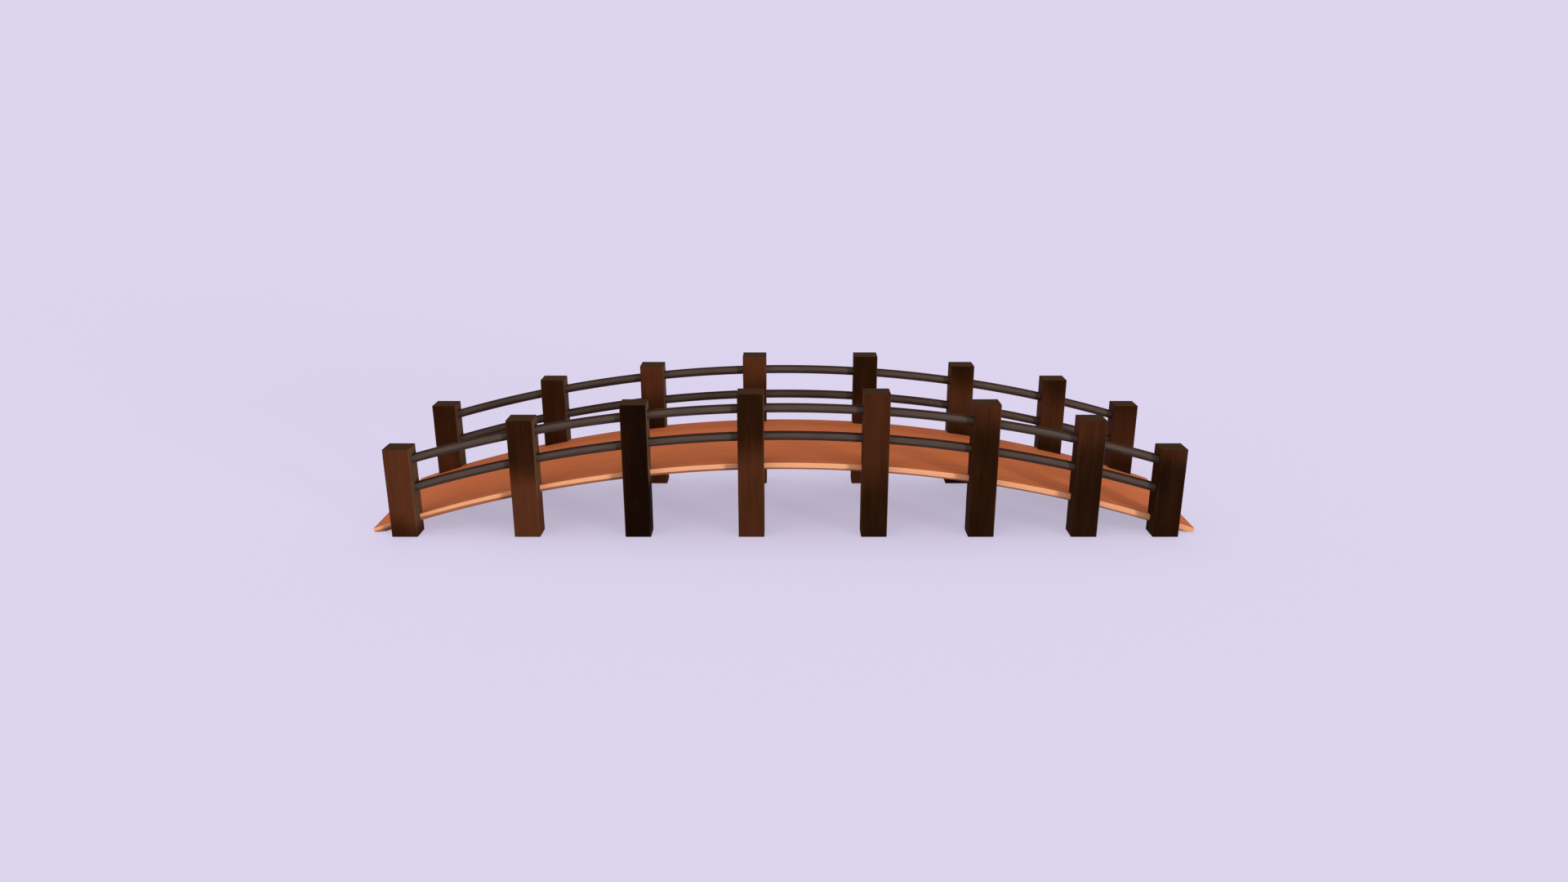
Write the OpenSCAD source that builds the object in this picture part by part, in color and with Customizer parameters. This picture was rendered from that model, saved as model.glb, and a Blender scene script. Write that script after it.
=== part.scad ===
// Low arched timber footbridge (moon bridge).
// X runs along the bridge, Y across it and Z up from the ground.
// The origin is on the ground, under the crown, on the centre line of the walkway.
// The deck and the rails all follow arcs about one axis, which lies across the bridge under the crown.

/* [Arch] */
// Length of the deck from end to end
span = 6420; // [6300:10:7000]
// Height of the walking surface at the crown
crown_h = 571; // [480:1:680]
// Height of the walking surface at the two ends of the deck
end_h = 28; // [12:1:45]

/* [Deck] */
// Clear width of the walkway between the two rows of posts
walk_w = 1040; // [800:10:1500]
// Thickness of the deck slab
deck_t = 57; // [40:1:75]
// Bevel along the lower edges of the deck slab
deck_bevel = 20; // [4:1:28]
// Depth to which the edges of the deck are housed in the posts
housing_depth = 66; // [40:1:85]

/* [Posts] */
// Size of a post along the bridge
post_w = 200; // [140:1:240]
// Size of a post across the bridge
post_d = 167; // [130:1:220]
// Chamfer on the upright edges and the head of a post
post_arris = 5; // [2:0.5:10]
// Height of the heads of posts 1 and 8 over the centre line of the upper rail
head_1 = 127; // [80:1:200]
// Height of the heads of posts 2 and 7 over the centre line of the upper rail
head_2 = 152; // [100:1:220]
// Height of the heads of posts 3 and 6 over the centre line of the upper rail
head_3 = 131; // [80:1:200]
// Height of the heads of posts 4 and 5 over the centre line of the upper rail
head_4 = 140; // [80:1:200]

/* [Bays, from centre to centre of the posts] */
// From post 1 to post 2
bay_1_2 = 949; // [700:1:1000]
// From post 2 to post 3
bay_2_3 = 856; // [600:1:900]
// From post 3 to post 4
bay_3_4 = 876; // [600:1:920]
// From post 4 to the crown
bay_4_crown = 251; // [200:1:290]
// From the crown to post 5
bay_crown_5 = 695; // [500:1:740]
// From post 5 to post 6
bay_5_6 = 827; // [600:1:870]
// From post 6 to post 7
bay_6_7 = 796; // [600:1:840]
// From post 7 to post 8
bay_7_8 = 631; // [500:1:670]

/* [Rails] */
// Diameter of the round rails
rail_d = 72; // [50:1:90]
// Height of the lower rail's centre line over the deck, square to the deck
lower_rail_h = 226; // [180:1:280]
// Distance between the centre lines of the two rails on one side
rail_spacing = 218; // [170:1:260]
// Length by which a rail runs past the centre line of the end posts
rail_tail = 20; // [0:1:50]

/* [Fits] */
// Least gap round the deck in its housings
housing_clearance = 0.3; // [0.1:0.1:2]
// Least gap round a rail in its bores
bore_clearance = 0.3; // [0.1:0.1:2]
// Gap between the end of a rail and the bottom of its socket
socket_gap = 0.5; // [0.2:0.1:3]

/* [Hidden] */
// Steps in a full turn of the long arcs, and of the round rails
arc_fn = 720;
rail_fn = 72;

deck_colour = "#a65a38";
post_colour = "#462818";
rail_colour = "#53463d";

// The arch: one circle through the crown and the two ends of the walking surface
rise = crown_h - end_h;
deck_r = (pow(span / 2, 2) + pow(rise, 2)) / (2 * rise);
arch_centre_z = crown_h - deck_r;
deck_end_angle = asin(span / 2 / deck_r);
deck_mid_r = deck_r - deck_t / 2;
lower_rail_r = deck_r + lower_rail_h;
upper_rail_r = lower_rail_r + rail_spacing;

deck_w = walk_w + 2 * housing_depth;
row_y = (walk_w + post_d) / 2;

// Where the posts stand along the bridge, from the left end to the right end
post_x = [
    -(bay_4_crown + bay_3_4 + bay_2_3 + bay_1_2),
    -(bay_4_crown + bay_3_4 + bay_2_3),
    -(bay_4_crown + bay_3_4),
    -bay_4_crown,
    bay_crown_5,
    bay_crown_5 + bay_5_6,
    bay_crown_5 + bay_5_6 + bay_6_7,
    bay_crown_5 + bay_5_6 + bay_6_7 + bay_7_8
];
last_post = len(post_x) - 1;
heads = [head_1, head_2, head_3, head_4];

function arc_angle(x, r) = asin(x / r);
function arc_z(x, r) = arch_centre_z + sqrt(r * r - x * x);

// The posts are cut in matched pairs, one from each end of the bridge.
// A pair takes its height from the upper rail at the pair's mean distance from the crown.
function pair(i) = min(i, last_post - i);
function pair_reach(i) = (post_x[last_post - pair(i)] - post_x[pair(i)]) / 2;
function post_height(i) = arc_z(pair_reach(i), upper_rail_r) + heads[pair(i)];

// How far an arc bows out of a straight cut through one post, over a section of this depth
function bow(x, r, depth) =
    let (slope = abs(arc_angle(x, r)))
    pow(post_w / cos(slope) + depth * tan(slope), 2) / (8 * r);

// The angle that an arc of length s takes up at radius r
function angle_of(s, r) = s / r * 180 / PI;

// Where along the cut a rail's bore starts and ends: right through, or blind in the end posts
socket_tail = rail_tail + socket_gap;
function bore_from(i) = i == 0 ? -socket_tail : -post_w;
function bore_to(i) = i == last_post ? socket_tail : post_w;

// Sweeps a section, drawn as radius and distance across, from the crown round the arch to the left
module half_sweep(angle) {
    rotate([0, 0, 90]) rotate_extrude(angle = angle, $fn = arc_fn) children();
}

// Sweeps a section round the arch from an angle left of the crown to an angle right of it
module sweep(left_angle, right_angle) {
    translate([0, 0, arch_centre_z]) rotate([90, 0, 0]) {
        half_sweep(left_angle) children();
        mirror([1, 0, 0]) half_sweep(right_angle) children();
    }
}

// Runs a section straight along the slope of an arc at x, from one distance to another along the slope
module straight_cut(x, r, from, to) {
    translate([0, 0, arch_centre_z]) rotate([90, 0, 0]) rotate([0, 0, 90 - arc_angle(x, r)])
        translate([r, 0, 0]) rotate([90, 0, 0])
            translate([0, 0, from]) linear_extrude(height = to - from) children();
}

// The deck's section about its middle, upright along x, grown on all sides for a cut that it fits
module deck_section(grow = 0) {
    top = deck_t / 2 + grow;
    side = deck_w / 2 + grow;
    polygon([
        [top, -side],
        [top, side],
        [deck_bevel - top, side],
        [-top, side - deck_bevel],
        [-top, deck_bevel - side],
        [deck_bevel - top, -side]
    ]);
}

// The arched slab, with its two ends cut level where they bear on the ground
module deck() {
    color(deck_colour) difference() {
        sweep(deck_end_angle, deck_end_angle) translate([deck_mid_r, 0]) deck_section();
        translate([-span, -deck_w, -crown_h]) cube([2 * span, 2 * deck_w, crown_h]);
    }
}

// A rectangle standing on the x axis with its two upper corners chamfered
module eased_elevation(w, h) {
    polygon([
        [-w / 2, 0],
        [w / 2, 0],
        [w / 2, h - post_arris],
        [w / 2 - post_arris, h],
        [post_arris - w / 2, h],
        [-w / 2, h - post_arris]
    ]);
}

// The plan of a post with its four corners chamfered
module eased_plan() {
    intersection() {
        square([post_w, post_d], center = true);
        rotate(45) square((post_w + post_d - 2 * post_arris) / sqrt(2), center = true);
    }
}

// A sawn post of this height before its joints are cut
module post_timber(h) {
    intersection() {
        linear_extrude(height = h) eased_plan();
        rotate([90, 0, 0]) linear_extrude(height = post_d, center = true) eased_elevation(post_w, h);
        rotate([90, 0, 90]) linear_extrude(height = post_w, center = true) eased_elevation(post_d, h);
    }
}

// The housing that the deck's edge fits, cut straight across the post at the slope of the deck
module deck_housing(x) {
    spare = bow(x, deck_mid_r, deck_t) / 2;
    straight_cut(x, deck_mid_r, -post_w, post_w) translate([-spare, 0]) deck_section(housing_clearance + spare);
}

// The bore that a rail of this radius passes through, drilled straight at the slope of the rail
module rail_bore(i, r) {
    spare = bow(post_x[i], r, rail_d) / 2;
    straight_cut(post_x[i], r, bore_from(i), bore_to(i))
        translate([-spare, row_y]) circle(r = rail_d / 2 + bore_clearance + spare, $fn = rail_fn);
}

// A post of the front row, with its housing and its two bores
module post(i) {
    color(post_colour) difference() {
        translate([post_x[i], -row_y, 0]) post_timber(post_height(i));
        deck_housing(post_x[i]);
        rail_bore(i, lower_rail_r);
        rail_bore(i, upper_rail_r);
    }
}

// A rail of the front row, bent to this radius, from the socket in post 1 to the socket in the last post
module rail(r) {
    tail_angle = angle_of(rail_tail, r);
    color(rail_colour)
        sweep(tail_angle - arc_angle(post_x[0], r), tail_angle + arc_angle(post_x[last_post], r))
            translate([r, row_y]) circle(d = rail_d, $fn = rail_fn);
}

// The rear row is the front row seen in the upright plane along the bridge
module rear() {
    mirror([0, 1, 0]) children();
}

deck();

for (i = [0:last_post]) {
    post(i);
    rear() post(i);
}

rail(lower_rail_r);  // front_lower_rail
rail(upper_rail_r);  // front_upper_rail
rear() rail(lower_rail_r);  // rear_lower_rail
rear() rail(upper_rail_r);  // rear_upper_rail
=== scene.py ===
"""Looks of the low arched timber footbridge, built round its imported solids.

Lengths are in metres. X runs along the bridge, Y across it and Z up from the ground.
Each piece stands for one solid: the deck, sixteen posts and four rails.
"""

import math
from collections import namedtuple

import bmesh
import bpy
import numpy as np
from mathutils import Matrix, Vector


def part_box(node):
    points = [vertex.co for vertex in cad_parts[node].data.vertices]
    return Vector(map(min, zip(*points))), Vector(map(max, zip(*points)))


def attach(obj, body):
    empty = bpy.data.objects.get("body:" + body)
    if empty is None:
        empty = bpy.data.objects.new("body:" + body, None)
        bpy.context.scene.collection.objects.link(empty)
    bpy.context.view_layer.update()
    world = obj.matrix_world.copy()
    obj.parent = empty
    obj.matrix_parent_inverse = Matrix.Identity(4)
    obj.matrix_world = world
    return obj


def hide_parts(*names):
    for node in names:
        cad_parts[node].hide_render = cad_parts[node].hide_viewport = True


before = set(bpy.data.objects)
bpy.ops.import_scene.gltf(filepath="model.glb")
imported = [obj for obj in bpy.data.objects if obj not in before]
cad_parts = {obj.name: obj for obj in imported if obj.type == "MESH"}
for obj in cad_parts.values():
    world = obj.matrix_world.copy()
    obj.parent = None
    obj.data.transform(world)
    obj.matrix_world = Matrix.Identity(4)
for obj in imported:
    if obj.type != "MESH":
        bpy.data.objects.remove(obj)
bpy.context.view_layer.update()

BODY = "root"

FULL_TURN = 2 * math.pi
HALF_TURN = math.pi
QUARTER_TURN = math.pi / 2

# Sizes in the part's source that the boxes of the solids do not give
END_HEIGHT = 0.028
DECK_THICKNESS = 0.057
DECK_BEVEL = 0.020

# Gap left round the deck and the rails where they pass through the posts
JOINT_GAP = 0.0005

# Edges that turn more than this stay sharp, and corners nearer than this are joined
SMOOTH_ANGLE = math.radians(38)
WELD_DISTANCE = 0.00001

# Steps round a rounded edge of the deck or of a post
ARRIS_STEPS = 4


def srgb(red, green, blue):
    """A colour written in 0 to 255, as the linear colour that the shaders take."""
    linear = []
    for level in (red, green, blue):
        share = level / 255
        linear.append(share / 12.92 if share <= 0.04045 else ((share + 0.055) / 1.055) ** 2.4)
    return (*linear, 1.0)


def smooth(share):
    """A share from 0 to 1, eased at both ends."""
    share = np.clip(share, 0, 1)
    return share * share * (3 - 2 * share)


# The arch: one circle through the crown and the two ends of the walking surface
_, deck_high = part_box("deck")
half_span = deck_high.x
half_width = deck_high.y
rise = deck_high.z - END_HEIGHT
deck_radius = (half_span**2 + rise**2) / (2 * rise)
arch_centre_z = deck_high.z - deck_radius
deck_end_angle = math.asin(half_span / deck_radius)


def on_arch(radius, angle, across):
    """Corners at a radius and an angle from the upright about the arch's axis, and at a place across."""
    x = radius * np.sin(angle)
    z = arch_centre_z + radius * np.cos(angle)
    return np.stack(np.broadcast_arrays(x, across, z), axis=-1).reshape(-1, 3)


def new_object(name, vertices, faces):
    """A mesh object from an array of corners and a list of faces."""
    mesh = bpy.data.meshes.new(name)
    mesh.from_pydata(np.asarray(vertices, float).tolist(), [], faces)
    mesh.update()
    made = bpy.data.objects.new(name, mesh)
    bpy.context.scene.collection.objects.link(made)
    return made


def ring_faces(rings, columns):
    """Quads between rings of corners that follow each other, each ring closed on itself."""
    faces = []
    for ring in range(rings - 1):
        here = ring * columns
        there = here + columns
        for column in range(columns):
            after = (column + 1) % columns
            faces.append((here + column, there + column, there + after, here + after))
    return faces


def bar_faces(rings, columns):
    """The faces of a bar through rings of corners, with a flat face at each end."""
    last_ring = range((rings - 1) * columns, rings * columns)
    return [*ring_faces(rings, columns), tuple(range(columns)), tuple(reversed(last_ring))]


def store(mesh, name, kind, values):
    """Writes one value for each corner of a mesh under a name that the materials read."""
    attribute = mesh.attributes.new(name, kind, "POINT")
    field = "vector" if kind == "FLOAT_VECTOR" else "value"
    attribute.data.foreach_set(field, np.asarray(values, np.float32).ravel())


def corners(mesh):
    """The corners of a mesh as an array."""
    flat = np.zeros(len(mesh.vertices) * 3, np.float32)
    mesh.vertices.foreach_get("co", flat)
    return flat.reshape(-1, 3).astype(float)


def weld(mesh):
    """Joins corners of a mesh that lie on each other, and drops the faces that are left without area."""
    work = bmesh.new()
    work.from_mesh(mesh)
    bmesh.ops.remove_doubles(work, verts=work.verts, dist=WELD_DISTANCE)
    bmesh.ops.dissolve_degenerate(work, edges=work.edges, dist=WELD_DISTANCE)
    work.to_mesh(mesh)
    work.free()


def settle(piece, node):
    """Cleans and shades a finished piece, and puts it in the place of its solid."""
    weld(piece.data)
    piece.data.shade_smooth()
    piece.data.set_sharp_from_angle(angle=SMOOTH_ANGLE)
    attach(piece, BODY)
    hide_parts(node)


# Noise: the middle of its values, the range in which most of them lie, and its usual detail
NOISE_MIDDLE = 0.5
NOISE_RANGE = (0.25, 0.75)
NOISE_DETAIL = 2.0

# The Mix node's sockets for colours: share, first colour, second colour and result
MIX_SHARE = 0
MIX_FIRST = 6
MIX_SECOND = 7
MIX_RESULT = 2


class Graph:
    """Adds nodes to one node tree and links them."""

    def __init__(self, tree):
        self.tree = tree
        tree.nodes.clear()

    def node(self, kind, inputs=None, **settings):
        """A node with these settings, and values or links at its inputs."""
        made = self.tree.nodes.new(kind)
        for name, value in settings.items():
            setattr(made, name, value)
        for key, value in (inputs or {}).items():
            self.put(made.inputs[key], value)
        return made

    def put(self, socket, value):
        """Links an output to an input, or sets the input's own value."""
        if isinstance(value, bpy.types.NodeSocket):
            self.tree.links.new(value, socket)
        else:
            socket.default_value = value

    def attribute(self, name, output="Fac"):
        """A number or a vector that is stored on the mesh."""
        return self.node("ShaderNodeAttribute", attribute_name=name).outputs[output]

    def math(self, operation, *values):
        """A number from numbers."""
        return self.node("ShaderNodeMath", dict(enumerate(values)), operation=operation).outputs[0]

    def vector(self, operation, *values, output="Vector"):
        """A vector or a number from vectors."""
        inputs = dict(enumerate(values))
        return self.node("ShaderNodeVectorMath", inputs, operation=operation).outputs[output]

    def scale(self, vector, share):
        """A vector or a colour times a number."""
        inputs = {"Vector": vector, "Scale": share}
        return self.node("ShaderNodeVectorMath", inputs, operation="SCALE").outputs["Vector"]

    def split(self, vector):
        """The X, Y and Z of a vector."""
        return self.node("ShaderNodeSeparateXYZ", {"Vector": vector}).outputs

    def join(self, x, y, z):
        """A vector from its X, Y and Z."""
        return self.node("ShaderNodeCombineXYZ", {"X": x, "Y": y, "Z": z}).outputs["Vector"]

    def noise(self, vector, detail=NOISE_DETAIL, output="Fac"):
        """A noise over space, as a number or a colour."""
        inputs = {"Vector": vector, "Scale": 1.0, "Detail": detail}
        return self.node("ShaderNodeTexNoise", inputs).outputs[output]

    def remap(self, value, low, high, to_low, to_high):
        """A number taken from one range to another and held within it."""
        inputs = {"Value": value, "From Min": low, "From Max": high, "To Min": to_low, "To Max": to_high}
        return self.node("ShaderNodeMapRange", inputs).outputs["Result"]

    def spread(self, noise, to_low, to_high):
        """A noise spread over a range."""
        return self.remap(noise, *NOISE_RANGE, to_low, to_high)

    def mix(self, share, first, second):
        """The first colour with this share of the second."""
        inputs = {MIX_SHARE: share, MIX_FIRST: first, MIX_SECOND: second}
        return self.node("ShaderNodeMix", inputs, data_type="RGBA").outputs[MIX_RESULT]

    def ramp(self, share, stops):
        """A colour from stops, each a place from 0 to 1 and its colour."""
        made = self.node("ShaderNodeValToRGB", {"Fac": share})
        points = made.color_ramp.elements
        points[0].position, points[0].color = stops[0]
        points[1].position, points[1].color = stops[-1]
        for position, colour in stops[1:-1]:
            points.new(position).color = colour
        return made.outputs["Color"]

    def surface(self, shader):
        """Ends a material in this shader."""
        self.node("ShaderNodeOutputMaterial", {"Surface": shader})


def new_graph(name):
    """A new material and the graph of its nodes."""
    material = bpy.data.materials.new(name)
    material.use_nodes = True
    return material, Graph(material.node_tree)


# Growth rings: distance between them, how far they wander off true, and how sharp their late wood is
RING_SPACING = 0.005
RING_WANDER = 0.014
RING_SHARPNESS = 2.5
# How many times as much the late wood of a ring is darkened as its early wood is lightened
LATE_TO_EARLY = 3
# Scales, along the grain and across it, of the rings' slow wander, of the fibres and of the blotches
SLOW_SCALE = (0.7, 7.0, 7.0)
FIBRE_SCALE = (9.0, 420.0, 420.0)
BLOTCH_SCALE = (2.2, 9.0, 9.0)
FIBRE_DETAIL = 3.0
# Relief of the surface, and the part of the rings in it beside that of the fibres
BUMP_HEIGHT = 0.0008
BUMP_STRENGTH = 0.6
RING_RELIEF = -0.5
ROUGHNESS_SPREAD = 0.1
# Keeps the part of a vector that lies across the grain
ACROSS_GRAIN = (0.0, 1.0, 1.0)


def wood_pattern(graph, grain):
    """Rings, fibres and blotches of a solid timber, each from 0 to 1, from where a point lies in it."""
    slow = graph.noise(graph.vector("MULTIPLY", grain, SLOW_SCALE), output="Color")
    wander = graph.vector("SUBTRACT", slow, (NOISE_MIDDLE,) * 3)
    wander = graph.vector("MULTIPLY", wander, (0.0, RING_WANDER, RING_WANDER))
    bent = graph.vector("MULTIPLY", graph.vector("ADD", grain, wander), ACROSS_GRAIN)
    count = graph.math("DIVIDE", graph.vector("LENGTH", bent, output="Value"), RING_SPACING)
    ring = graph.math("POWER", graph.math("FRACT", count), RING_SHARPNESS)
    fibre = graph.noise(graph.vector("MULTIPLY", grain, FIBRE_SCALE), detail=FIBRE_DETAIL)
    blotch = graph.noise(graph.vector("MULTIPLY", grain, BLOTCH_SCALE))
    return ring, fibre, blotch


def wood_shader(graph, colour, ring, fibre, ring_shade, fibre_shade, roughness, gloss):
    """Shades a colour by the rings and fibres and gives it their roughness and relief."""
    shade = graph.math(
        "MULTIPLY",
        graph.remap(ring, 0.0, 1.0, 1.0 + ring_shade / LATE_TO_EARLY, 1.0 - ring_shade),
        graph.spread(fibre, 1.0 - fibre_shade, 1.0 + fibre_shade),
    )
    height = graph.math("ADD", graph.math("MULTIPLY", ring, RING_RELIEF), fibre)
    relief = {"Height": height, "Distance": BUMP_HEIGHT, "Strength": BUMP_STRENGTH}
    inputs = {
        "Base Color": graph.scale(colour, shade),
        "Roughness": graph.spread(fibre, roughness + ROUGHNESS_SPREAD, roughness - ROUGHNESS_SPREAD),
        "Specular IOR Level": gloss,
        "Normal": graph.node("ShaderNodeBump", relief).outputs["Normal"],
    }
    graph.surface(graph.node("ShaderNodeBsdfPrincipled", inputs).outputs["BSDF"])


# Post colours from black to brown, the heads' colour (weathering with painted light) and the sunny
# sides' painted sheen
POST_RAMP = (
    (0.0, srgb(17, 5, 1)),
    (0.3, srgb(34, 15, 3)),
    (0.6, srgb(53, 26, 10)),
    (1.0, srgb(73, 38, 21)),
)
# The heads' olive colour: weathered end grain, partly painted light
POST_HEAD_WEATHER_AND_PAINTED_LIGHT = srgb(49, 30, 10)
# Painted sheen: the olive tint of the sides that face the light
POST_SUNNY_SIDE_PAINTED_SHEEN = srgb(77, 54, 36)
POST_WORN_EDGE = srgb(92, 58, 38)
# How much the wear shows on the upright edges, and the blotches between which it comes and goes
POST_EDGE_WEAR = 0.45
POST_WEAR_RANGE = (0.4, 0.6)
POST_BLOTCH = 0.12
POST_FINISH = {"ring_shade": 0.22, "fibre_shade": 0.18, "roughness": 0.72, "gloss": 0.02}


def post_material():
    """Timber stained from black to brown; olive on its head, partly painted light, and a painted olive
    sheen on its sunny side.
    """
    material, graph = new_graph("post_wood")
    ring, fibre, blotch = wood_pattern(graph, graph.attribute("grain", "Vector"))
    tone = graph.math("ADD", graph.attribute("tone"), graph.spread(blotch, -POST_BLOTCH, POST_BLOTCH))
    stained = graph.ramp(tone, POST_RAMP)
    # Painted olive sheen on the sunny side
    colour = graph.mix(graph.attribute("painted_sheen_side"), stained, POST_SUNNY_SIDE_PAINTED_SHEEN)
    patchy = graph.remap(blotch, *POST_WEAR_RANGE, 0.0, POST_EDGE_WEAR)
    worn = graph.math("MULTIPLY", graph.attribute("edge"), patchy)
    colour = graph.mix(worn, colour, POST_WORN_EDGE)
    # Heads olive, partly weathering and partly painted light
    colour = graph.mix(graph.attribute("head"), colour, POST_HEAD_WEATHER_AND_PAINTED_LIGHT)
    wood_shader(graph, colour, ring, fibre, **POST_FINISH)
    return material


# Deck: laminations side by side, with a fine groove at each joint
LAMINATIONS = 12
LAMINATION_TINT = 0.035
# Width of a lamination in its own grain, how deep its pith lies under it, and how far its grain may be
# shifted along it, across it and in depth
LAMINATION_GRAIN_WIDTH = 0.1
LAMINATION_PITH = 0.04
LAMINATION_SHIFT = (30.0, 0.05, 0.09)
DECK_TOP = srgb(171, 91, 52)
DECK_EDGE = srgb(212, 149, 107)
# Painted shadow on the lower part of the deck's edges
DECK_EDGE_PAINTED_SHADOW = srgb(152, 94, 63)
DECK_BLOTCH = 0.04
DECK_FINISH = {"ring_shade": 0.10, "fibre_shade": 0.08, "roughness": 0.70, "gloss": 0.04}
# Depth at which the painted shadow on the lower part of an edge begins, at the left and the right end,
# and how it wanders
PAINTED_SHADOW_LINE = (0.024, 0.051)
PAINTED_SHADOW_BLEND = 0.002
PAINTED_SHADOW_WANDER = 0.002


def deck_material(name, base, painted_shadow=None):
    """Warm laminated timber: each lamination is its own piece of wood with its own slight tint.

    An edge is given a second, darker colour on its lower part: a painted shadow.
    """
    material, graph = new_graph(name)
    along, across, depth = graph.split(graph.attribute("grain", "Vector"))
    place = graph.math("DIVIDE", across, 2 * half_width / LAMINATIONS)
    number = graph.math("FLOOR", place)
    chance = graph.node("ShaderNodeTexWhiteNoise", {"W": number}, noise_dimensions="1D")
    shift = graph.split(graph.vector("MULTIPLY", chance.outputs["Color"], LAMINATION_SHIFT))
    within = graph.math("SUBTRACT", graph.math("FRACT", place), 0.5)
    within = graph.math("MULTIPLY", within, LAMINATION_GRAIN_WIDTH)
    grain = graph.join(
        graph.math("ADD", along, shift["X"]),
        graph.math("ADD", within, shift["Y"]),
        graph.math("ADD", depth, graph.math("ADD", shift["Z"], LAMINATION_PITH)),
    )
    ring, fibre, blotch = wood_pattern(graph, grain)
    tint = graph.remap(chance.outputs["Value"], 0.0, 1.0, 1.0 - LAMINATION_TINT, 1.0 + LAMINATION_TINT)
    tint = graph.math("MULTIPLY", tint, graph.spread(blotch, 1.0 - DECK_BLOTCH, 1.0 + DECK_BLOTCH))
    paint = base[:3]
    # A painted shadow over the lower part of the edge, below a line that runs deeper towards the right
    # end
    if painted_shadow:
        line = graph.remap(along, -half_span, half_span, *PAINTED_SHADOW_LINE)
        line = graph.math("ADD", line, graph.spread(blotch, -PAINTED_SHADOW_WANDER, PAINTED_SHADOW_WANDER))
        below = graph.math("SUBTRACT", depth, line)
        share = graph.remap(below, -PAINTED_SHADOW_BLEND, PAINTED_SHADOW_BLEND, 0.0, 1.0)
        paint = graph.mix(share, base, painted_shadow)
    wood_shader(graph, graph.scale(paint, tint), ring, fibre, **DECK_FINISH)
    return material


RAIL_SIDE = srgb(71, 59, 51)
# Painted shade: the rails' tops and undersides are made darker than their sides
RAIL_TOP_PAINTED_SHADE = srgb(42, 25, 18)
RAIL_UNDER_PAINTED_SHADE = srgb(54, 42, 37)
RAIL_BLOTCH = 0.1
RAIL_FINISH = {"ring_shade": 0.26, "fibre_shade": 0.26, "roughness": 0.64, "gloss": 0.04}


def rail_material():
    """Grey-brown round timber, with painted shade along its top and underneath."""
    material, graph = new_graph("rail_wood")
    ring, fibre, blotch = wood_pattern(graph, graph.attribute("grain", "Vector"))
    uneven = graph.spread(blotch, -RAIL_BLOTCH, RAIL_BLOTCH)
    # Painted shade mixed in on the top and then on the underside
    colour = graph.mix(graph.math("ADD", graph.attribute("top"), uneven), RAIL_SIDE, RAIL_TOP_PAINTED_SHADE)
    colour = graph.mix(graph.math("ADD", graph.attribute("under"), uneven), colour, RAIL_UNDER_PAINTED_SHADE)
    wood_shader(graph, colour, ring, fibre, **RAIL_FINISH)
    return material


# Deck mesh: length of a step along the arch, points across a lamination and down an edge,
# and the sizes of its grooves and of its rounded edges
DECK_STEP = 0.020
LAMINATION_COLUMNS = 4
EDGE_ROWS = 3
GROOVE_WIDTH = 0.0024
GROOVE_DEPTH = 0.0010
DECK_ARRIS = 0.004
# The place of the material for edges and ends in the deck's list of two
EDGE_MATERIAL = 1


def deck_angles():
    """The angles of the rings of corners along the deck, as a column."""
    rings = math.ceil(2 * deck_end_angle * deck_radius / DECK_STEP) + 1
    return np.linspace(-deck_end_angle, deck_end_angle, rings)[:, None]


def deck_section():
    """The deck's section as corners (depth below the walking surface, place across).

    It runs along the top from front to rear, down the rear edge, back along the underside and up
    the front edge. The numbers of corners along the top and down an edge come with it.
    """
    inner = half_width - DECK_ARRIS
    joints = np.linspace(-half_width, half_width, LAMINATIONS + 1)
    top = []
    for left, right in zip(joints[:-1], joints[1:]):
        start = max(left + GROOVE_WIDTH / 2, -inner)
        stop = min(right - GROOVE_WIDTH / 2, inner)
        top += [(0.0, y) for y in np.linspace(start, stop, LAMINATION_COLUMNS)]
        if right < inner:
            top.append((GROOVE_DEPTH, right))
    turns = np.radians(np.linspace(0, 90, ARRIS_STEPS + 1))[1:]
    arris = [(DECK_ARRIS * (1 - math.cos(t)), inner + DECK_ARRIS * math.sin(t)) for t in turns]
    bevel_top = DECK_THICKNESS - DECK_BEVEL
    edge = [(depth, half_width) for depth in np.linspace(DECK_ARRIS, bevel_top, EDGE_ROWS + 1)[1:]]
    bevel = [(DECK_THICKNESS - DECK_BEVEL / 2, half_width - DECK_BEVEL / 2)]
    side = arris + edge + bevel
    under_half = half_width - DECK_BEVEL
    under = [(DECK_THICKNESS - depth, -y * under_half / inner) for depth, y in top]
    front = [(depth, -y) for depth, y in reversed(side)]
    return np.array(top + side + under + front), len(top), len(side)


def deck_half_width(depth):
    """Half the deck's width at a depth below the walking surface."""
    return half_width - np.maximum(0.0, depth - (DECK_THICKNESS - DECK_BEVEL))


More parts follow.
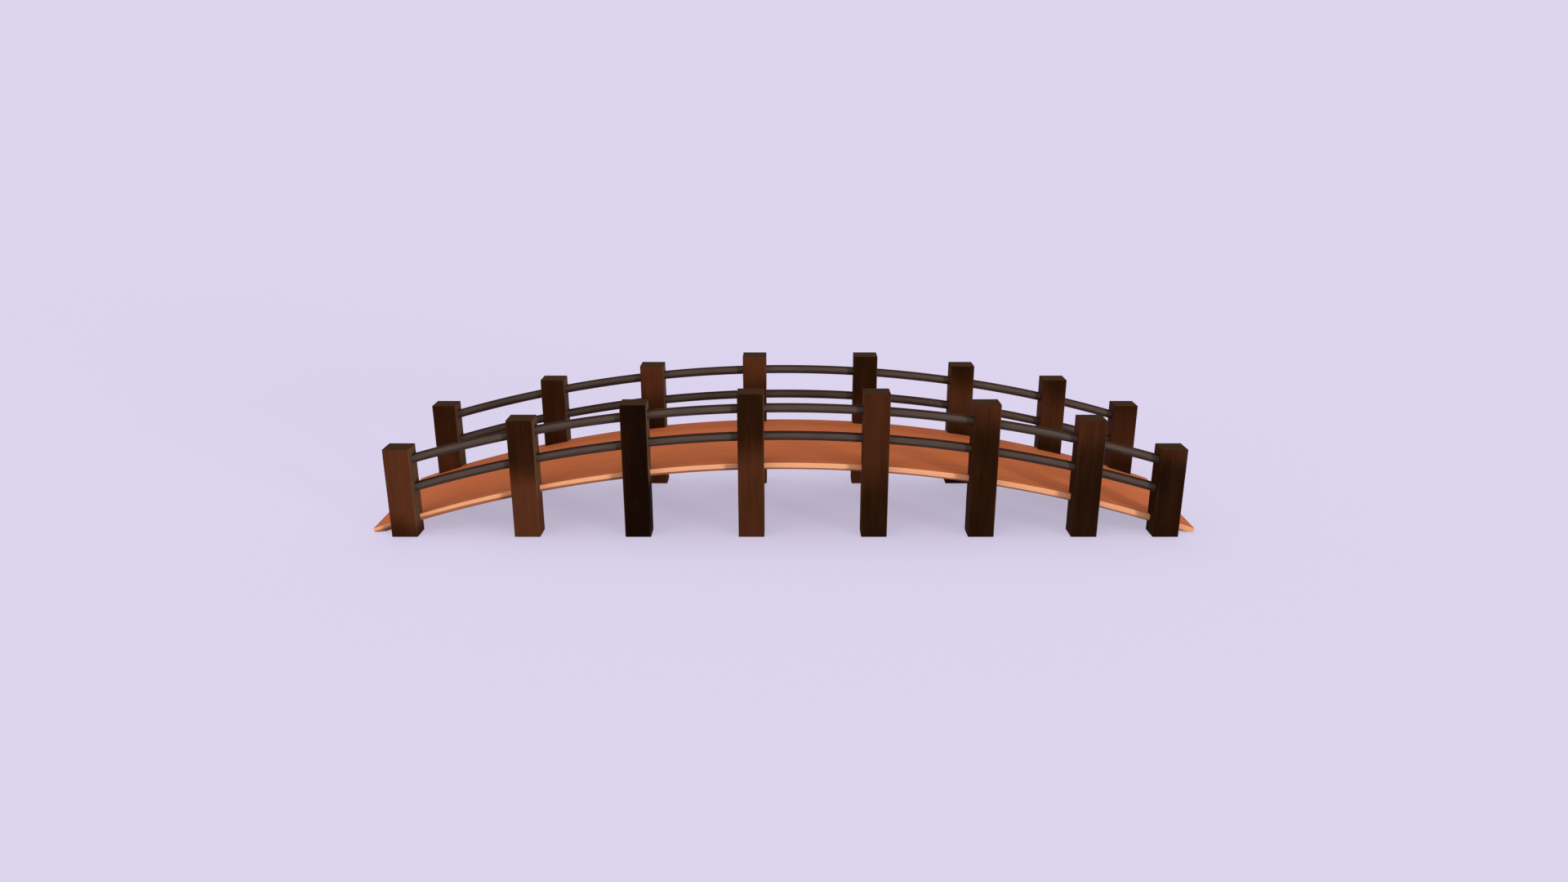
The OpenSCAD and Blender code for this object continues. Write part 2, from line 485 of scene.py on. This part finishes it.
def build_deck(materials):
    """The arched slab, its ends cut level where they bear on the ground.

    The materials are for the walking surface and underside, and for the edges and ends.
    """
    section, tops, sides = deck_section()
    columns = len(section)
    angles = deck_angles()
    rings = len(angles)
    ground_radius = -arch_centre_z / np.cos(angles)
    radius = np.maximum(deck_radius - section[:, 0], ground_radius)
    depth = deck_radius - radius
    across = section[:, 1] * deck_half_width(depth) / deck_half_width(section[:, 0])
    faces = ring_faces(rings, columns)
    under_start = tops + sides
    finish = np.zeros(columns, np.int32)
    finish[tops - 1 : under_start] = EDGE_MATERIAL
    finish[under_start + tops - 1 :] = EDGE_MATERIAL
    finishes = list(finish) * (rings - 1)
    for first, turn in ((0, 1), ((rings - 1) * columns, -1)):
        caps = []
        for column in range(tops - 1):
            below = under_start + tops - 1 - column
            caps.append([column, column + 1, below - 1, below])
        caps.append(list(range(tops - 1, under_start + 1)))
        caps.append([*range(under_start + tops - 1, columns), 0])
        faces += [tuple(first + corner for corner in cap[::turn]) for cap in caps]
        finishes += [EDGE_MATERIAL] * len(caps)
    piece = new_object("deck_timber", on_arch(radius, angles, across), faces)
    for material in materials:
        piece.data.materials.append(material)
    piece.data.polygons.foreach_set("material_index", np.array(finishes, np.int32))
    along = np.broadcast_to(angles * deck_radius, radius.shape)
    store(piece.data, "grain", "FLOAT_VECTOR", np.stack([along, across, depth], axis=-1))
    settle(piece, "deck")


def deck_cutter():
    """A plain arched bar, a little larger than the deck, that cuts the housings."""
    under_half = half_width - DECK_BEVEL
    bevel_top = DECK_THICKNESS - DECK_BEVEL
    section = np.array(
        [
            (-JOINT_GAP, -half_width - JOINT_GAP),
            (-JOINT_GAP, half_width + JOINT_GAP),
            (bevel_top, half_width + JOINT_GAP),
            (DECK_THICKNESS + JOINT_GAP, under_half),
            (DECK_THICKNESS + JOINT_GAP, -under_half),
            (bevel_top, -half_width - JOINT_GAP),
        ]
    )
    angles = deck_angles()
    vertices = on_arch(deck_radius - section[:, 0], angles, section[:, 1])
    return new_object("deck_cutter", vertices, bar_faces(len(angles), len(section)))


# Rails: points round the section of a rail and of the cutter for its bores, and steps along them
RAIL_SIDES = 40
CUTTER_SIDES = 64
RAIL_STEP = 0.020
# Unevenness of a rail, from waves that each have a rate along it and a number of lobes round it
RAIL_UNEVENNESS = 0.0006
RAIL_WAVES = ((4.1, 1), (9.3, -2), (2.3, 3))
# The random draws of a rail: its seed, the number of its phases, and how far its pith lies off.
# One phase more is drawn than there are waves, and the pith is drawn after it.
RAIL_SEED = 500
RAIL_PHASES = 4
RAIL_PITH_OFFSET = 0.012
RAIL_GRAIN_SHIFT = 11.0
# Where the painted shade on the top and on the underside begins, as the cosine of the angle from the
# top, and the ranges of it over which it blends in
TOP_START = 0.66
TOP_BLEND = 0.12
UNDER_START = -0.08
UNDER_BLEND = 0.14


def rail_facts(node):
    """A rail's own radius, its place across, the radius of its arc and the angles of its two ends."""
    low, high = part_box(node)
    own = (high.y - low.y) / 2
    arc = high.z - own - arch_centre_z
    ends = (math.asin(low.x / (arc + own)), math.asin(high.x / (arc + own)))
    return own, (low.y + high.y) / 2, arc, ends


def rail_tube(name, node, sides, grow=0.0, uneven=None):
    """A closed round bar along a rail's arc.

    Each corner's distance along the arc, angle round the bar and distance from its middle come with it.
    """
    own, place, arc, (start, stop) = rail_facts(node)
    rings = math.ceil((stop - start) * arc / RAIL_STEP) + 1
    angles = np.linspace(start - grow / arc, stop + grow / arc, rings)[:, None]
    turns = np.linspace(0, FULL_TURN, sides, endpoint=False)[None, :]
    own = own + grow - (0.0 if uneven is None else uneven(angles * arc, turns))
    vertices = on_arch(arc + own * np.cos(turns), angles, place + own * np.sin(turns))
    bar = new_object(name, vertices, bar_faces(rings, sides))
    return bar, *np.broadcast_arrays(angles * arc, turns, own)


def build_rail(node, number, material):
    """A bowed round rail with a slightly uneven surface, and painted shade along its top and underneath.
    """
    draw = np.random.default_rng(RAIL_SEED + number)
    phases = draw.uniform(0, FULL_TURN, RAIL_PHASES)

    def uneven(along, turns):
        total = 0.0
        for (rate, lobes), phase in zip(RAIL_WAVES, phases):
            total = total + np.sin(along * rate + lobes * turns + phase)
        return RAIL_UNEVENNESS * (0.5 + total / (2 * len(RAIL_WAVES)))

    piece, along, around, own = rail_tube(f"{node}_timber", node, RAIL_SIDES, uneven=uneven)
    pith_y, pith_z = draw.uniform(-RAIL_PITH_OFFSET, RAIL_PITH_OFFSET, 2)
    along = along + RAIL_GRAIN_SHIFT * number
    grain = np.stack([along, own * np.sin(around) - pith_y, own * np.cos(around) - pith_z], axis=-1)
    store(piece.data, "grain", "FLOAT_VECTOR", grain)
    # Masks of the painted shade on the rail's top and underside
    store(piece.data, "top", "FLOAT", smooth((np.cos(around) - TOP_START) / TOP_BLEND))
    store(piece.data, "under", "FLOAT", smooth((UNDER_START - np.cos(around)) / UNDER_BLEND))
    piece.data.materials.append(material)
    settle(piece, node)


# Words for how dark a post is stained, as a share of the way from black to brown
STAINS = {
    "black": 0.0,
    "coal": 0.17,
    "deep": 0.25,
    "dark": 0.3,
    "sable": 0.36,
    "umber": 0.45,
    "mid": 0.6,
    "chestnut": 0.7,
    "warm": 0.8,
    "brown": 1.0,
}
# The stain of each post: how far its changes rise across the post, then its shades from the foot up.
# Heights are shares of the post's height.
POST_STAINS = {
    "front_post_1": (-0.08, ((0.0, "umber"), (0.3, "brown"))),
    "front_post_2": (-0.07, ((0.37, "brown"), (0.67, "sable"))),
    "front_post_3": (0.0, ((0.5, "black"),)),
    "front_post_4": (0.08, ((0.47, "warm"), (0.75, "dark"))),
    "front_post_5": (0.10, ((0.28, "dark"), (0.57, "chestnut"))),
    "front_post_6": (0.0, ((0.71, "deep"), (1.0, "chestnut"))),
    "front_post_7": (0.0, ((0.65, "deep"), (0.95, "mid"))),
    "front_post_8": (-0.05, ((0.71, "coal"), (1.0, "mid"))),
    "rear_post_1": (-0.06, ((0.27, "brown"), (0.55, "umber"))),
    "rear_post_2": (0.0, ((0.5, "umber"),)),
    # The paler feet of rear posts 3 to 5 are partly painted light, which offsets the shade under the
    # deck
    "rear_post_3": (-0.03, ((0.1, "chestnut"), (0.3, "dark"), (0.55, "dark"), (0.88, "brown"))),
    "rear_post_4": (0.12, ((0.1, "brown"), (0.5, "umber"), (0.6, "umber"), (0.92, "brown"))),
    "rear_post_5": (0.0, ((0.1, "brown"), (0.4, "mid"), (0.55, "mid"), (0.78, "dark"))),
    "rear_post_6": (-0.03, ((0.4, "umber"), (0.58, "warm"), (0.72, "warm"), (0.97, "dark"))),
    "rear_post_7": (-0.05, ((0.35, "dark"), (0.52, "chestnut"), (0.7, "chestnut"), (0.97, "dark"))),
    "rear_post_8": (-0.08, ((0.24, "dark"), (0.48, "mid"), (0.84, "mid"), (1.0, "umber"))),
}
# Painted light: how much paler the stain is made on the shaded sides, which face against X
SHADED_SIDE_PAINTED_LIGHT = 0.25
# Depth over which the painted light on the shaded sides, and the painted sheen on the sunny sides along
# X, fade into the timber
SIDE_BLEND = 0.0036
# Height below the walking surface over which the painted sheen on the sunny sides fades out, where the
# deck shades them
DECK_SHADE_BLEND = 0.12
# How far the lighter wear on the upright edges reaches in from them
EDGE_REACH = 0.007

# Posts: rounding of the edges, extra wear on the corners, unevenness of the faces
POST_ARRIS = 0.005
CORNER_WEAR = 0.003
FACE_UNEVENNESS = 0.0012
# Waves that make the unevenness: their number, and the ranges of their lengths round a post and up it.
# Those of the wear on the corners are shorter.
WAVE_COUNT = 5
WAVE_ROUND = (0.07, 0.26)
WAVE_UP = (0.18, 0.8)
CORNER_WAVE_RATE = 2.7
# The random draws of a post: its seed, and how far its pith lies off its middle
POST_SEED = 100
PITH_OFFSET = 0.03
POST_GRAIN_SHIFT = 7.0
# Post mesh: distances between rows and columns, and the rings on the head and the foot as shares
# of the way out from the pith. The head's edge is drawn in by a share of the rounding.
POST_ROW_STEP = 0.016
POST_COLUMN_STEP = 0.011
HEAD_RING_SHARES = (0.15, 0.35, 0.55, 0.75, 0.9)
HEAD_INSET_SHARE = 0.8
FOOT_RING_SHARE = 0.5

# Drying checks in the posts: how many, and the ranges of their widths, depths, lengths and lower ends.
# Lengths and ends are shares of the post's height. A check that doesn't open at the head stops below it.
CHECKS_PER_POST = 4
CHECK_WIDTH = (0.0018, 0.0032)
CHECK_DEPTH = (0.004, 0.009)
CHECK_LENGTH_SHARE = (0.18, 0.5)
CHECK_START_SHARE = (0.12, 0.5)
CHECK_STOP_SHARE = 0.92
# Room that a check keeps to the plain columns, to the edges of its side and to the next check
CHECK_CLEAR = 0.011
CHECK_EDGE_CLEAR = 3 * CHECK_CLEAR
CHECK_SPACING = 4 * CHECK_CLEAR
# How far and how fast a check wanders from side to side on its way up
CHECK_WANDER = 0.003
CHECK_WANDER_RATE = 11
# How quickly a check deepens from its ends, in a check that opens at the head and in one with two ends,
# and where on the way out from the pith it starts across the head
OPEN_TAPER = 3
CLOSED_TAPER = 4
CHECK_HEAD_START = 0.3
NO_CHECK = -1

Check = namedtuple("Check", "side place width depth low high opens wander")

# The four sides of a post in turn, from the front: the way each faces and the way along it
NORMALS = np.array([(0, -1), (1, 0), (0, 1), (-1, 0)], float)
TANGENTS = np.array([(1, 0), (0, 1), (-1, 0), (0, -1)], float)


def waves(draw, u, z):
    """A slow uneven surface from 0 to 1 over the way round a post and its height."""
    total = np.zeros(np.broadcast_shapes(u.shape, z.shape))
    for _ in range(WAVE_COUNT):
        round_length = draw.uniform(*WAVE_ROUND)
        up_length = draw.uniform(*WAVE_UP)
        phase = draw.uniform(0, FULL_TURN)
        total += np.sin(FULL_TURN * (u / round_length + z / up_length) + phase)
    return 0.5 + total / (2 * WAVE_COUNT)


def side_reach(side, half_x, half_y):
    """Half the length of one side of a post."""
    return half_x if side % 2 == 0 else half_y


def draw_checks(draw, half_x, half_y, height):
    """Chooses the drying checks of a post: half of them open at the head, the rest lie lower down."""
    checks = []
    while len(checks) < CHECKS_PER_POST:
        side = int(draw.integers(len(NORMALS)))
        reach = side_reach(side, half_x, half_y) - CHECK_EDGE_CLEAR
        place = draw.uniform(-reach, reach)
        length = draw.uniform(*CHECK_LENGTH_SHARE) * height
        width = draw.uniform(*CHECK_WIDTH)
        depth = draw.uniform(*CHECK_DEPTH)
        start = draw.uniform(*CHECK_START_SHARE) * height
        wander = draw.uniform(0, FULL_TURN)
        if any(check.side == side and abs(check.place - place) < CHECK_SPACING for check in checks):
            continue
        opens = len(checks) % 2 == 0
        if opens:
            low, high = height - length, height
        else:
            low, high = start, min(start + length, CHECK_STOP_SHARE * height)
        checks.append(Check(side, place, width, depth, low, high, opens, wander))
    return checks


def post_columns(half_x, half_y, checks):
    """The columns round a post, as arrays: side, place along it, turn round a corner, check and middle.

    A check takes three columns, which carry its number, and the middle one is marked.
    """
    columns = []
    for side in range(len(NORMALS)):
        reach = side_reach(side, half_x, half_y) - POST_ARRIS
        count = round(2 * reach / POST_COLUMN_STEP)
        own = [(number, check) for number, check in enumerate(checks) if check.side == side]
        entries = []
        for place in np.linspace(-reach, reach, count + 1):
            if all(abs(place - check.place) > CHECK_CLEAR for _, check in own):
                entries.append((place, NO_CHECK, False))
        for number, check in own:
            entries.append((check.place - check.width / 2, number, False))
            entries.append((check.place, number, True))
            entries.append((check.place + check.width / 2, number, False))
        columns += [(side, place, 0.0, number, middle) for place, number, middle in sorted(entries)]
        for turn in np.linspace(0, QUARTER_TURN, ARRIS_STEPS + 1)[1:-1]:
            columns.append((side, reach, turn, NO_CHECK, False))
    return [np.array(values) for values in zip(*columns)]


def post_rows(height):
    """The rows of a post from its head to its foot: inset, height, share of the way out, lean.

    The lean is the angle from straight up to the way that the surface faces.
    """
    inset = HEAD_INSET_SHARE * POST_ARRIS
    rows = [(inset, height, share, 0.0) for share in HEAD_RING_SHARES]
    for turn in np.linspace(0, QUARTER_TURN, ARRIS_STEPS + 1):
        drop = POST_ARRIS * (1 - math.cos(turn))
        rows.append((inset * (1 - math.sin(turn)), height - drop, 1.0, turn))
    shoulder = height - POST_ARRIS
    count = round(shoulder / POST_ROW_STEP)
    rows += [(0.0, z, 1.0, QUARTER_TURN) for z in np.linspace(shoulder, 0.0, count + 1)[1:]]
    rows.append((0.0, 0.0, FOOT_RING_SHARE, HALF_TURN))
    return np.array(rows)


def check_taper(check, z, share):
    """How deep a check is at each row of its post, as a share of its full depth."""
    along = np.clip((z - check.low) / (check.high - check.low), 0, 1)
    if not check.opens:
        return smooth(along * CLOSED_TAPER) * smooth((1 - along) * CLOSED_TAPER)
    across_head = smooth((share - CHECK_HEAD_START) / (1 - CHECK_HEAD_START))
    return np.where(share < 1, across_head, np.sqrt(smooth(along * OPEN_TAPER)))


def post_timber(name, node, number):
    """A sawn post with worn corners, uneven faces and drying checks, before its joints are cut.

    The place of its pith and its height come with it.
    """
    low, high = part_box(node)
    centre = np.array([(low.x + high.x) / 2, (low.y + high.y) / 2])
    half_x, half_y, height = (high.x - low.x) / 2, (high.y - low.y) / 2, high.z
    draw = np.random.default_rng(POST_SEED + number)
    pith = draw.uniform(-PITH_OFFSET, PITH_OFFSET, 2)
    checks = draw_checks(draw, half_x, half_y, height)
    side, place, turn, check, middle = post_columns(half_x, half_y, checks)
    inset, z, share, lean = (values[:, None] for values in post_rows(height).T)
    above_foot = lean < HALF_TURN

    normal, tangent = NORMALS[side], TANGENTS[side]
    facing = np.cos(turn)[:, None] * normal + np.sin(turn)[:, None] * tangent
    offset = np.where(side % 2 == 0, half_y, half_x) - POST_ARRIS
    root = normal * offset[:, None] + tangent * place[:, None]
    outline = root + facing * (POST_ARRIS - inset)[:, :, None]

    steps = np.diff(root + facing * POST_ARRIS, axis=0, prepend=root[:1])
    around = np.cumsum(np.hypot(*steps.T))[None, :]
    dent = FACE_UNEVENNESS * waves(draw, around, z)
    wear = waves(draw, 0 * around, z * CORNER_WAVE_RATE) ** 2
    dent = dent + CORNER_WEAR * np.sin(2 * turn)[None, :] * wear
    dent = dent * np.sin(lean)

    for index, crack in enumerate(checks):
        groove = crack.depth * check_taper(crack, z, share) * above_foot
        dent = dent + np.where((check == index) & middle, groove, 0.0)
        drift = CHECK_WANDER * np.sin(z * CHECK_WANDER_RATE + crack.wander) * above_foot
        outline = outline + (drift * (check == index))[:, :, None] * tangent

    flat = outline - (dent * np.sin(lean))[:, :, None] * facing
    flat = pith + share[:, :, None] * (flat - pith)
    up = z - dent * np.cos(lean) * (lean < QUARTER_TURN)
    vertices = np.concatenate([flat + centre, up[:, :, None]], axis=-1).reshape(-1, 3)

    rings, columns = flat.shape[:2]
    faces = ring_faces(rings, columns)
    head, foot = len(vertices), len(vertices) + 1
    last = (rings - 1) * columns
    for column in range(columns):
        after = (column + 1) % columns
        faces.append((head, column, after))
        faces.append((foot, last + after, last + column))
    middle_line = pith + centre
    vertices = np.concatenate([vertices, [(*middle_line, height), (*middle_line, 0.0)]])
    return new_object(name, vertices, faces), middle_line, height


def cut(piece, cutters):
    """Takes the cutters out of a piece and keeps the result as its mesh."""
    for cutter in cutters:
        tool = piece.modifiers.new(cutter.name, "BOOLEAN")
        tool.operation = "DIFFERENCE"
        tool.solver = "MANIFOLD"
        tool.object = cutter
    view = bpy.context.evaluated_depsgraph_get()
    made = bpy.data.meshes.new_from_object(piece.evaluated_get(view))
    piece.modifiers.clear()
    piece.data = made


def post_tone(node, place):
    """How far the stain of a post is from black to brown at each of its corners."""
    low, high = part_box(node)
    slant, shades = POST_STAINS[node]
    across = (place[:, 0] - low.x) / (high.x - low.x) - 0.5
    risen = place[:, 2] / high.z - slant * across
    tone = np.full(len(place), STAINS[shades[0][1]])
    for (start, under), (stop, over) in zip(shades, shades[1:]):
        tone += (STAINS[over] - STAINS[under]) * smooth((risen - start) / (stop - start))
    return tone


def build_post(node, number, cutters, material):
    """A post with its housing and bores, its stain changing from head to foot."""
    piece, pith, height = post_timber(f"{node}_timber", node, number)
    cut(piece, cutters)
    low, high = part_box(node)
    place = corners(piece.data)
    x, y, z = place.T
    grain = np.stack([z + POST_GRAIN_SHIFT * number, x - pith[0], y - pith[1]], axis=-1)
    # Painted light that pales the shaded side facing against X
    shaded_side_painted_light = smooth((low.x + POST_ARRIS - x) / SIDE_BLEND)
    inset = np.minimum(place - np.array(low), np.array(high) - place)[:, :2].max(axis=1)
    deck_z = arch_centre_z + np.sqrt(deck_radius**2 - x**2)
    # Painted sheen on the sunny side along X, fading out where the deck shades it
    out_of_deck_shade = smooth((z - deck_z) / DECK_SHADE_BLEND + 1)
    painted_sheen_side = smooth((x - high.x + POST_ARRIS) / SIDE_BLEND) * out_of_deck_shade
    store(piece.data, "grain", "FLOAT_VECTOR", grain)
    # The stain's tone, with the painted light on the shaded side added
    store(piece.data, "tone", "FLOAT", post_tone(node, place) + SHADED_SIDE_PAINTED_LIGHT * shaded_side_painted_light)
    store(piece.data, "head", "FLOAT", smooth((z - height + POST_ARRIS) / POST_ARRIS))
    store(piece.data, "edge", "FLOAT", smooth(1 - inset / EDGE_REACH))
    store(piece.data, "painted_sheen_side", "FLOAT", painted_sheen_side)
    piece.data.materials.clear()
    piece.data.materials.append(material)
    settle(piece, node)


def build_bridge():
    """Every piece of the bridge, each in the place of its solid."""
    build_deck(
        [
            deck_material("deck_top_wood", DECK_TOP),
            # The edges carry a painted shadow on their lower part
            deck_material("deck_edge_wood", DECK_EDGE, DECK_EDGE_PAINTED_SHADOW),
        ]
    )
    rails = [f"{row}_{level}_rail" for row in ("front", "rear") for level in ("lower", "upper")]
    rail_wood = rail_material()
    for number, node in enumerate(rails):
        build_rail(node, number, rail_wood)
    housing = deck_cutter()
    bores = {node: rail_tube(f"{node}_cutter", node, CUTTER_SIDES, JOINT_GAP)[0] for node in rails}
    post_wood = post_material()
    for number, node in enumerate(POST_STAINS):
        row = node.split("_")[0]
        cutters = [housing, bores[f"{row}_lower_rail"], bores[f"{row}_upper_rail"]]
        build_post(node, number, cutters, post_wood)
    for cutter in (housing, *bores.values()):
        bpy.data.objects.remove(cutter)


# Stage: a plain pale round floor, a little below the feet of the posts.
# It fades into the background between two distances from its middle.
FLOOR_RADIUS = 40.0
FLOOR_SIDES = 96
FLOOR_DROP = 0.001
FLOOR_FADE = (14.0, 36.0)
FLOOR_COLOUR = srgb(202, 194, 218)
BACKGROUND = srgb(221, 213, 239)
# Share of the background's colour in the floor as it is seen
FLOOR_GLOW = 0.6
# The even light from all round: its level and its colour
AMBIENT = 0.45
WHITE = (1.0, 1.0, 1.0, 1.0)
# Far lights: degrees from the front of the bridge towards its right end, degrees up, level,
# and width in degrees
LIGHTS = {
    "key_light": (48, 5, 0.88, 12),
    "side_light": (-65, 12, 0.4, 80),
    "top_light": (0, 90, 0.58, 100),
}


def seen_rays(graph):
    """1 for the rays that show a surface: seen straight on, in a reflection or through glass."""
    rays = graph.node("ShaderNodeLightPath").outputs
    seen = graph.math("MAXIMUM", rays["Is Camera Ray"], rays["Is Glossy Ray"])
    return graph.math("MAXIMUM", seen, rays["Is Transmission Ray"])


def build_floor():
    """A round floor that keeps the shadow of the bridge, clear far out and from below."""
    turns = np.linspace(0, FULL_TURN, FLOOR_SIDES, endpoint=False)
    drop = np.full(FLOOR_SIDES, -FLOOR_DROP)
    vertices = np.stack([FLOOR_RADIUS * np.cos(turns), FLOOR_RADIUS * np.sin(turns), drop], axis=-1)
    floor = new_object("floor", vertices, [tuple(range(FLOOR_SIDES))])
    material, graph = new_graph("floor_paint")
    place = graph.node("ShaderNodeTexCoord").outputs["Object"]
    far = graph.remap(graph.vector("LENGTH", place, output="Value"), *FLOOR_FADE, 0.0, 1.0)
    behind = graph.node("ShaderNodeNewGeometry").outputs["Backfacing"]
    paint = graph.node("ShaderNodeBsdfDiffuse", {"Color": FLOOR_COLOUR}).outputs["BSDF"]
    glow = graph.node("ShaderNodeEmission", {"Color": BACKGROUND, "Strength": 1.0}).outputs["Emission"]
    seen = graph.math("MULTIPLY", seen_rays(graph), FLOOR_GLOW)
    paint = graph.node("ShaderNodeMixShader", {0: seen, 1: paint, 2: glow}).outputs["Shader"]
    clear = graph.node("ShaderNodeBsdfTransparent").outputs["BSDF"]
    hidden = graph.math("MAXIMUM", far, behind)
    graph.surface(graph.node("ShaderNodeMixShader", {0: hidden, 1: paint, 2: clear}).outputs["Shader"])
    floor.data.materials.append(material)


def build_world():
    """A pale background, and an even white light from all round."""
    world = bpy.data.worlds.new("studio")
    bpy.context.scene.world = world
    world.use_nodes = True
    sky = Graph(world.node_tree)
    shown = sky.node("ShaderNodeBackground", {"Color": BACKGROUND, "Strength": 1.0}).outputs[0]
    light = sky.node("ShaderNodeBackground", {"Color": WHITE, "Strength": AMBIENT}).outputs[0]
    mixed = sky.node("ShaderNodeMixShader", {0: seen_rays(sky), 1: light, 2: shown})
    sky.node("ShaderNodeOutputWorld", {"Surface": mixed.outputs["Shader"]})


def add_sun(name, azimuth, elevation, level, width):
    """A soft far light that lights a white face square to it to this level."""
    azimuth, elevation = math.radians(azimuth), math.radians(elevation)
    flat = math.cos(elevation)
    towards = (math.sin(azimuth) * flat, -math.cos(azimuth) * flat, math.sin(elevation))
    lamp = bpy.data.lights.new(name, "SUN")
    lamp.energy = level * math.pi
    lamp.angle = math.radians(width)
    made = bpy.data.objects.new(name, lamp)
    made.rotation_mode = "QUATERNION"
    made.rotation_quaternion = Vector(towards).to_track_quat("Z", "Y")
    bpy.context.scene.collection.objects.link(made)


def build_stage():
    """The floor, the background and the lights."""
    build_floor()
    build_world()
    for name, light in LIGHTS.items():
        add_sun(name, *light)


# Camera: in front of the crown, looking a little down
CAMERA_PLACE = (0.0, -8.3013, 3.2195)
CAMERA_TILT = math.radians(72.23)
CAMERA_LENS = 24.4425
CAMERA_SENSOR = 36.0


def build_camera():
    """The camera at the photograph's viewing angle."""
    lens = bpy.data.cameras.new("camera")
    lens.sensor_width = CAMERA_SENSOR
    lens.lens = CAMERA_LENS
    camera = bpy.data.objects.new("camera", lens)
    camera.location = CAMERA_PLACE
    camera.rotation_euler = (CAMERA_TILT, 0.0, 0.0)
    bpy.context.scene.collection.objects.link(camera)
    bpy.context.scene.camera = camera


build_camera()
build_stage()
build_bridge()
bpy.context.scene.view_settings.view_transform = "Standard"
